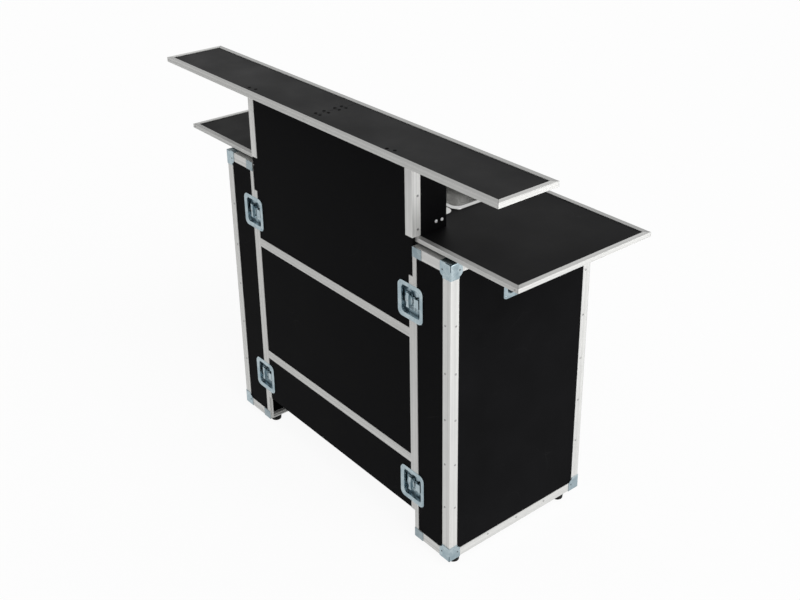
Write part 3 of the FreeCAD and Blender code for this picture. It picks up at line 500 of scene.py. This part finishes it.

# %% [markdown]
# Each solid piece now gets its finish in its object's material slot. Most follow the material slot
# that the record gives them. The two tops are sorted further by their gloss, the aluminium by the
# way its bars run, and the zinc by where shade is painted on it.

# %% Finish the solid pieces
by_slot = {
    "black_board": board_finish,
    "aluminium": level_finish,
    "zinc": zinc_finish,
    "stainless": stainless_finish,
    "rubber": rubber_finish,
}
by_node = {
    "edge_angles": edge_finish,
    "upper_angles": brightened_angle_finish,
    "worktop_edging": worktop_edge_finish,
    "corner_braces": brace_zinc_finish,
    "closing_plates": dull_zinc_finish,
    "handle_dishes": handle_zinc_finish,
    "latch_dishes": latch_zinc_finish,
    "keeper_dishes": latch_zinc_finish,
}
for side in ("left", "right"):
    by_node["worktop_%s_board" % side] = worktop_finish
    by_node["bar_%s_board" % side] = bar_finish
    by_node["bar_%s_edging" % side] = bar_edge_finish
    by_node["%s_closing_profile" % side] = closing_finish
    by_node["panel_%s_profile" % side] = upright_finish
for node in frame["nodes"]:
    if node.startswith(("latch_key_", "latch_hook_")):
        by_node[node] = latch_zinc_finish
for subpart in frame["record"]["subparts"]:
    solid = frame["nodes"][subpart["node"]]
    finish = by_node.get(subpart["node"], by_slot[subpart["material_slot"]])
    for slot in solid.material_slots:
        slot.material = finish

# %% [markdown]
# Rivet and screw heads are all turned forms. Each could be an object of its own with a Screw
# modifier, but there are well over a hundred. So one helper turns a list of rings into a head, and
# another sets heads out on many places in one mesh. A ring is a radius and a height in millimetres.
# A radius may also be a list with one number for each side, which is how a cross recess is pressed
# into a screw.

# %% Turn heads and set them out
SIDES = 24
SHARP = radians(40)


def turn_head(bm, rings, point, facing):
    """Add one closed head to a mesh: rings from the middle of the crown out and down to the seat."""
    lean = Vector(facing).to_track_quat("Z", "Y").to_matrix()
    loops = []
    for radius, height in rings:
        radii = radius if isinstance(radius, list) else [radius] * SIDES
        loop = []
        for side, reach in enumerate(radii):
            angle = 2 * pi * side / SIDES
            offset = Vector((reach * cos(angle), reach * sin(angle), height)) * MM
            loop.append(bm.verts.new(Vector(point) + lean @ offset))
        loops.append(loop)
    for inner, outer in zip(loops, loops[1:]):
        for side in range(SIDES):
            after = (side + 1) % SIDES
            bm.faces.new((inner[side], outer[side], outer[after], inner[after]))
    bm.faces.new(loops[0])
    bm.faces.new(loops[-1][::-1])


def finish_piece(bm, name, finish, body):
    """Make a mesh into a piece that rides on a body."""
    bmesh.ops.recalc_face_normals(bm, faces=bm.faces)
    mesh = bpy.data.meshes.new(name)
    bm.to_mesh(mesh)
    bm.free()
    mesh.shade_smooth()
    mesh.set_sharp_from_angle(angle=SHARP)
    mesh.materials.append(finish)
    piece = bpy.data.objects.new(name, mesh)
    scene.collection.objects.link(piece)
    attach(piece, body)
    print("made", name, "with", len(mesh.polygons), "faces on", body)


def set_out(name, rings, places, finish, body):
    """One piece with a turned head on each place, given as a point and the way it faces."""
    bm = bmesh.new()
    for point, facing in places:
        turn_head(bm, rings, point, facing)
    finish_piece(bm, name, finish, body)


def both_ends(places):
    """The same places on both ends of the bar."""
    other = [((-x, y, z), (-across, deep, up)) for (x, y, z), (across, deep, up) in places]
    return places + other


print("heads have", SIDES, "sides")

# %% [markdown]
# Blind rivets hold the edge angles to the boards. A blind rivet has a low dome with a small hole
# in the middle where its pin broke off. They stand in pairs, one on each leg of an angle, and always
# the same distance in from the corner. The rows are counted from the middle of the case, so they
# stay centred if a size changes.

# %% Blind rivets on the edge angles
DOME_RIVET = [
    (0.3, 0.35), (0.95, 0.35), (1.05, 0.95), (1.5, 1.1),
    (2.3, 0.95), (2.9, 0.6), (3.2, 0.15), (3.2, 0),
]
RIVET_IN = 19 * MM
UPRIGHT_PITCH = 138.5 * MM
RAIL_PITCH = 110 * MM


def upright_rivets():
    """Pairs of rivets up the two outer corners of the right end."""
    places = []
    for step in range(-2, 3):
        level = MIDDLE_Z + step * UPRIGHT_PITCH
        for face, way in ((FRONT, -1), (BACK, 1)):
            places.append(((END - RIVET_IN, face, level), (0, way, 0)))
            places.append(((END, face - way * RIVET_IN, level), (1, 0, 0)))
    return places


def rail_rivets():
    """Pairs of rivets along the two rails of the right end."""
    places = []
    for level, way in ((BOTTOM, 1), (TOP, -1)):
        row = level + way * RIVET_IN
        for step in range(-1, 2):
            places.append(((END, MIDDLE_Y + step * RAIL_PITCH, row), (1, 0, 0)))
            places.append(((END - RIVET_IN, MIDDLE_Y + step * RAIL_PITCH, level), (0, 0, -way)))
    return places


edge_rivets = both_ends(upright_rivets() + rail_rivets())
set_out("edge_rivets", DOME_RIVET, edge_rivets, rivet_finish, "case")

# %% [markdown]
# The ears of the corner braces are riveted to the edge angles, all but the ears underneath. The
# rivets have a smaller dome than the ones before. Those on the ears at the back come later, because
# they are of another kind.

# %% Rivets in the corner braces
ZINC_RIVET = [
    (0.25, 0.25), (0.75, 0.25), (0.85, 0.75), (1.3, 0.85),
    (1.95, 0.7), (2.45, 0.4), (2.6, 0.1), (2.6, 0),
]
EAR_ALONG, EAR_UP = 29 * MM, 20 * MM
brace_low, brace_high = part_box("corner_braces")
ear_levels = (BOTTOM + EAR_UP, TOP - EAR_UP)


def ear_rivets(face, way):
    """One rivet in each ear on one long side of the right pedestal."""
    return [((END - EAR_ALONG, face, level), (0, way, 0)) for level in ear_levels]


def end_ear_rivets():
    """One rivet in each ear on the right end, and one in each ear on its top."""
    places = []
    for y in (FRONT + EAR_ALONG, BACK - EAR_ALONG):
        for level in ear_levels:
            places.append(((brace_high.x, y, level), (1, 0, 0)))
        places.append(((END - EAR_ALONG, y, brace_high.z), (0, 0, 1)))
    return places


brace_rivets = both_ends(ear_rivets(brace_low.y, -1) + end_ear_rivets())
set_out("brace_rivets", ZINC_RIVET, brace_rivets, zinc_rivet_finish, "case")

# %% [markdown]
# The dishes are riveted through their flanges. The zinc on the back of the case is also the back
# of the frame's room, so the rivets there are of the flush kind: they stand out only a few
# hundredths of a millimetre and show as a fine ring.

# %% Rivets in the dishes
FLUSH_RIVET = [(0.25, 0.01), (0.7, 0.01), (0.8, 0.03), (2.3, 0.03), (2.6, 0.0)]
LATCH_IN, LATCH_NEAR = 51 * MM, 12 * MM
KEEPER_IN, KEEPER_NEAR = 29 * MM, 10 * MM
CORNER_UP, EDGE_UP = 43 * MM, 46 * MM
HANDLE_IN = 8 * MM
dish_low, dish_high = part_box("latch_dishes")
handle_low, handle_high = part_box("handle_dishes")


def latch_levels():
    """Heights of the lower and the upper latches."""
    boxes = [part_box("latch_key_front_left_" + name) for name in ("lower", "upper")]
    return [(low.z + high.z) / 2 for low, high in boxes]


def latch_rivets(face, way, latch_line, keeper_line):
    """Four rivets in each half dish of the latches on one line."""
    spots = [(latch_line - LATCH_IN, CORNER_UP), (latch_line - LATCH_NEAR, EDGE_UP)]
    spots += [(keeper_line + KEEPER_IN, CORNER_UP), (keeper_line + KEEPER_NEAR, EDGE_UP)]
    places = []
    for level in latch_levels():
        for x, rise in spots:
            places += [((x, face, level + rise), (0, way, 0)), ((x, face, level - rise), (0, way, 0))]
    return places


def handle_rivets():
    """A rivet in each corner of the right handle's dish."""
    ys = (handle_low.y + HANDLE_IN, handle_high.y - HANDLE_IN)
    zs = (handle_low.z + HANDLE_IN, handle_high.z - HANDLE_IN)
    return [((END, y, z), (1, 0, 0)) for y in ys for z in zs]


dish_rivets = both_ends(handle_rivets())
for line in (-INNER, INNER):
    dish_rivets += latch_rivets(dish_low.y, -1, line, line)
flush_rivets = both_ends(ear_rivets(brace_high.y, 1)) + latch_rivets(dish_high.y, 1, -INNER, INNER)
set_out("dish_rivets", ZINC_RIVET, dish_rivets, zinc_finish, "case")
set_out("flush_rivets", FLUSH_RIVET, flush_rivets, zinc_rivet_finish, "case")

# %% [markdown]
# Each key turns on a rivet whose head shows in the middle of its wings. It belongs to the key's
# body, so that it turns with the key.

# %% Pivot heads of the latch keys
PIVOT_HEAD = [(0.4, 0.5), (1.2, 0.48), (1.9, 0.3), (2.2, 0.05), (2.2, 0)]
KEY_BACK = 24 * MM
for side in ("front_left", "front_right", "back_left"):
    for name, level in zip(("lower", "upper"), latch_levels()):
        latch = "%s_%s" % (side, name)
        low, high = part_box("latch_key_" + latch)
        face, way = (high.y, 1) if side.startswith("back") else (low.y, -1)
        line = INNER if side.endswith("right") else -INNER
        place = ((line - KEY_BACK, face, level), (0, way, 0))
        set_out("key_pivot_" + latch, PIVOT_HEAD, [place], rivet_finish, "key_" + latch)

# %% [markdown]
# Cross-head screws hold the hinges and the stop angles of the bar top. They are black and show as
# small dark dots on the film. The cross recess could be cut with a Boolean, but as a ring that is
# wide on four of its sides it leaves a cleaner mesh. The screws' places are given in millimetres
# from the seam and from the front of the case.

# %% Screws in the bar top
HINGE_SCREW_X = 10
HINGE_SCREW_ROWS = (-12, 15, 50, 72)
STOP_SCREWS = {"left": [(-310, -26), (-285, -21)], "right": [(313, -31), (336, -25)]}
CROSS_WIDE, CROSS_NARROW = 0.55, 0.18
QUARTER = SIDES // 4


def cross_head(radius, height):
    """Rings of a low screw head with a cross recess."""
    shares = [CROSS_NARROW if side % QUARTER else CROSS_WIDE for side in range(SIDES)]
    cross = [share * radius for share in shares]
    bottom = [0.75 * reach for reach in cross]
    rim = [(0.8 * radius, height), (radius, 0.5 * height), (radius, 0)]
    return [(bottom, 0.3 * height), (cross, height)] + rim


BAR_SCREW = cross_head(4.8, 0.6)
bar_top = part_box("bar_left_board")[1].z
for side, way in (("left", -1), ("right", 1)):
    spots = STOP_SCREWS[side] + [(way * HINGE_SCREW_X, row) for row in HINGE_SCREW_ROWS]
    places = [((x * MM, FRONT + y * MM, bar_top), (0, 0, 1)) for x, y in spots]
    half = "bar_%s_half" % side
    set_out("bar_%s_screws" % side, BAR_SCREW, places, black_screw_finish, half)

# %% [markdown]
# Screws with a painted highlight hold the support boards, duller ones the angles beside them, and
# smaller ones join the channels of the worktop at their corners. The heights of the first two kinds
# are given from the floor.

# %% Screws in the supports, angles and worktop
SUPPORT_SCREW = cross_head(4.4, 1.6)
ANGLE_SCREW = cross_head(3.4, 1.2)
SMALL_SCREW = cross_head(2.6, 0.8)
SUPPORT_ROWS, SUPPORT_LEVEL = (79 * MM, 98 * MM), 968 * MM
ANGLE_ROW, ANGLE_LEVELS = 18 * MM, (965 * MM, 1055 * MM)
JOINT_IN = 11 * MM
support_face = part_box("right_support_board")[1].x
angle_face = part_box("upper_angles")[1].x
worktop_low, worktop_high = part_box("worktop_edging")
joint_x, joint_z = worktop_high.x - JOINT_IN, (worktop_low.z + worktop_high.z) / 2

supports = [((support_face, FRONT + row, SUPPORT_LEVEL), (1, 0, 0)) for row in SUPPORT_ROWS]
angles = [((angle_face, FRONT + ANGLE_ROW, level), (1, 0, 0)) for level in ANGLE_LEVELS]
joints = [((joint_x, y, joint_z), (0, way, 0)) for y, way in ((worktop_low.y, -1), (worktop_high.y, 1))]
set_out("support_screws", SUPPORT_SCREW, both_ends(supports), highlight_screw_finish, "case")
set_out("angle_screws", ANGLE_SCREW, both_ends(angles), rivet_finish, "case")
set_out("edging_screws", SMALL_SCREW, both_ends(joints), rivet_finish, "case")

# %% [markdown]
# The screws in the hinge leaves are seen only from below. Each leaf has two, and there are two
# hinges in each seam, so their places are measured from both ends of the row of leaves.

# %% Screws in the hinge leaves
LEAF_SCREW_X = 14 * MM
LEAF_NEAR, LEAF_FAR = 7 * MM, 31 * MM
LEAF_WALL = 1.5 * MM


def leaf_screws(node, way):
    """Two screws under each hinge leaf on one side of the seam."""
    low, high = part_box(node)
    level = (low.z + high.z) / 2 if node == "worktop_hinges" else high.z - LEAF_WALL
    rows = (low.y + LEAF_NEAR, low.y + LEAF_FAR, high.y - LEAF_FAR, high.y - LEAF_NEAR)
    return [((way * LEAF_SCREW_X, y, level), (0, 0, -1)) for y in rows]


for side, way in (("left", -1), ("right", 1)):
    under = leaf_screws("bar_%s_hinge_leaves" % side, way)
    half = "bar_%s_half" % side
    set_out("bar_%s_leaf_screws" % side, SMALL_SCREW, under, steel_screw_finish, half)
under = leaf_screws("worktop_hinges", -1) + leaf_screws("worktop_hinges", 1)
set_out("worktop_leaf_screws", SMALL_SCREW, under, steel_screw_finish, "case")

# %% [markdown]
# The bails of the handles have ribbed rubber sleeves. Ribs could be left to bump in the rubber, but
# they show in the outline of the grip. So the sleeve is a turned form again, a long one with four
# rings for each rib.

# %% Grip sleeves
GRIP_HALF, RIB_PITCH = 36.5, 3.0
END_RADIUS, SHOULDER_RADIUS = 5.4, 6.2
RIB_RADIUS, GROOVE_RADIUS = 6.5, 6.15
RIB = [(RIB_RADIUS, 0.4), (RIB_RADIUS, 1.6), (GROOVE_RADIUS, 2.0), (GROOVE_RADIUS, 2.6)]
BEVEL, PLAIN_END = 0.4, 1
sleeve = [(END_RADIUS, GRIP_HALF), (SHOULDER_RADIUS, GRIP_HALF - BEVEL)]
for rib in range(int(2 * GRIP_HALF / RIB_PITCH)):
    start = GRIP_HALF - PLAIN_END - rib * RIB_PITCH
    sleeve += [(radius, start - drop) for radius, drop in RIB]
sleeve += [(SHOULDER_RADIUS, BEVEL - GRIP_HALF), (END_RADIUS, -GRIP_HALF)]
for side in ("left", "right"):
    low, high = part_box("%s_handle_bail" % side)
    middle = ((low.x + high.x) / 2, (low.y + high.y) / 2, low.z + (high.x - low.x) / 2)
    grip = [(middle, (0, 1, 0))]
    set_out("%s_grip_sleeve" % side, sleeve, grip, rubber_finish, "%s_handle" % side)

# %% [markdown]
# Each rubber foot is held by a screw up its well, seen only from below. It has the same cross head
# as the others, but larger.

# %% Foot screws
FOOT_SCREW = cross_head(5.5, 2.6)
FOOT_IN, FOOT_FRONT, FOOT_BACK, WELL_TOP = 25 * MM, 37 * MM, 58 * MM, 17 * MM
foot_rows = (FRONT + FOOT_FRONT, BACK - FOOT_BACK)
feet = [(x, y) for x in (INNER + FOOT_IN, END - FOOT_IN) for y in foot_rows]
wells = both_ends([((x, y, WELL_TOP), (0, 0, -1)) for x, y in feet])
set_out("foot_screws", FOOT_SCREW, wells, steel_screw_finish, "case")

# %% [markdown]
# The camera stands as it did for the photograph: in front of the bar, to its right and higher than
# its top. A Track To constraint could aim it, but the photograph is rolled a little and cut
# off-centre. So its directions are worked out from three angles, and the lens is shifted.

# %% Camera at the photograph's angle
AZIMUTH, ELEVATION, ROLL = radians(51.199), radians(24.235), radians(-0.87)
CAMERA_PLACE = (2.310301, -1.824241, 2.155664)
LENS, LENS_SHIFT, SIGHT = 50.929, -0.1125, 100
away = Vector((sin(AZIMUTH) * cos(ELEVATION), -cos(AZIMUTH) * cos(ELEVATION), sin(ELEVATION)))
right = Vector((cos(AZIMUTH), sin(AZIMUTH), 0))
up = away.cross(right)
rolled_right = right * cos(ROLL) + up * sin(ROLL)
rolled_up = up * cos(ROLL) - right * sin(ROLL)
aim = Matrix((rolled_right, rolled_up, away)).transposed().to_4x4()

lens = bpy.data.cameras.new("photo_camera")
lens.lens = LENS
lens.shift_y = LENS_SHIFT
lens.clip_end = SIGHT
camera = bpy.data.objects.new("photo_camera", lens)
scene.collection.objects.link(camera)
camera.matrix_world = Matrix.Translation(CAMERA_PLACE) @ aim
scene.camera = camera
print("camera", [round(value, 3) for value in CAMERA_PLACE], "lens", LENS)

# %% [markdown]
# The bar stands in a plain white room. One background of full strength would do, but would light
# the black boards grey. So there are two: the camera and reflections meet a white one, and the bar
# is lit by a dimmer one.

# %% White room
WHITE = (1, 1, 1, 1)
ROOM_LIGHT, ROOM_SHOWN = 0.5, 1.0


def seen_directly(tree):
    """One for rays from the camera, from gloss or through glass."""
    path = add(tree, "LightPath")
    gloss = calc(tree, "MAXIMUM", path.outputs["Is Glossy Ray"], path.outputs["Is Transmission Ray"])
    return calc(tree, "MAXIMUM", path.outputs["Is Camera Ray"], gloss)


room = bpy.data.worlds.new("white_room")
room.use_nodes = True
tree = room.node_tree
lit = tree.nodes["Background"]
fill(tree, lit, {"Color": WHITE, "Strength": ROOM_LIGHT})
shown = add(tree, "Background", {"Color": WHITE, "Strength": ROOM_SHOWN})
both = add(tree, "MixShader", {0: seen_directly(tree), 1: lit.outputs[0], 2: shown.outputs[0]})
tree.links.new(both.outputs[0], tree.nodes["World Output"].inputs["Surface"])
scene.world = room
print("room lights at", ROOM_LIGHT, "and shows at", ROOM_SHOWN)

# %% [markdown]
# The floor is plain and pale. Lit by the lamps alone, it would be greyer than the room. So it also
# glows where it is seen, though not fully, and keeps the shadow under the bar.

# %% Pale floor
FLOOR_DEEP, FLOOR_PALE = (0.84, 0.84, 0.84, 1), (0.86, 0.86, 0.86, 1)
FLOOR_GLOW = 0.92
FLOOR_REACH = 20
floor_finish, tree, shader = new_finish("pale_floor")
floor_tone = mixed(tree, noise(tree, place_on(tree), 2.0), FLOOR_DEEP, FLOOR_PALE)
fill(tree, shader, {"Base Color": floor_tone, "Roughness": 0.9, "Specular IOR Level": 0.1})
glow = add(tree, "Emission", {"Color": WHITE, "Strength": 1.0})
share = calc(tree, "MULTIPLY", seen_directly(tree), FLOOR_GLOW)
lifted = add(tree, "MixShader", {0: share, 1: shader.outputs[0], 2: glow.outputs[0]})
tree.links.new(lifted.outputs[0], tree.nodes["Material Output"].inputs["Surface"])

bm = bmesh.new()
bmesh.ops.create_grid(bm, x_segments=8, y_segments=8, size=FLOOR_REACH)
floor_mesh = bpy.data.meshes.new("floor")
bm.to_mesh(floor_mesh)
bm.free()
floor_mesh.materials.append(floor_finish)
floor = bpy.data.objects.new("floor", floor_mesh)
scene.collection.objects.link(floor)
print("floor reaches", FLOOR_REACH, "m each way")

# %% [markdown]
# One broad, soft lamp stands high on the right, where the photograph is brightest. A wide card of
# light stands low beyond the right end and a little behind it. It shows in the metal that faces
# right, which is why that end shines while the front stays grey. The rest of the light comes evenly
# from the room.

# %% Lamps
KEY_TOWARDS, KEY_ENERGY, KEY_SPREAD = (0.85, -0.08, 0.72), 2.0, radians(50)
CARD_PLACE, CARD_AIM = Vector((4.0, 1.5, 0.45)), Vector((0.5, 0.1, 0.45))
CARD_LONG, CARD_TALL, CARD_ENERGY = 3.0, 1.0, 62


def hang(lamp, towards):
    """Put a lamp in the scene so that it shines from a direction."""
    holder = bpy.data.objects.new(lamp.name, lamp)
    scene.collection.objects.link(holder)
    holder.rotation_euler = Vector(towards).to_track_quat("Z", "Y").to_euler()
    print(lamp.name, "energy", lamp.energy)
    return holder


key_lamp = bpy.data.lights.new("key_lamp", "SUN")
key_lamp.energy = KEY_ENERGY
key_lamp.angle = KEY_SPREAD
hang(key_lamp, KEY_TOWARDS)

card = bpy.data.lights.new("end_card", "AREA")
card.shape = "RECTANGLE"
card.size, card.size_y = CARD_LONG, CARD_TALL
card.energy = CARD_ENERGY
end_card = hang(card, CARD_PLACE - CARD_AIM)
end_card.location = CARD_PLACE
end_card.visible_camera = False
scene.view_settings.view_transform = "Standard"
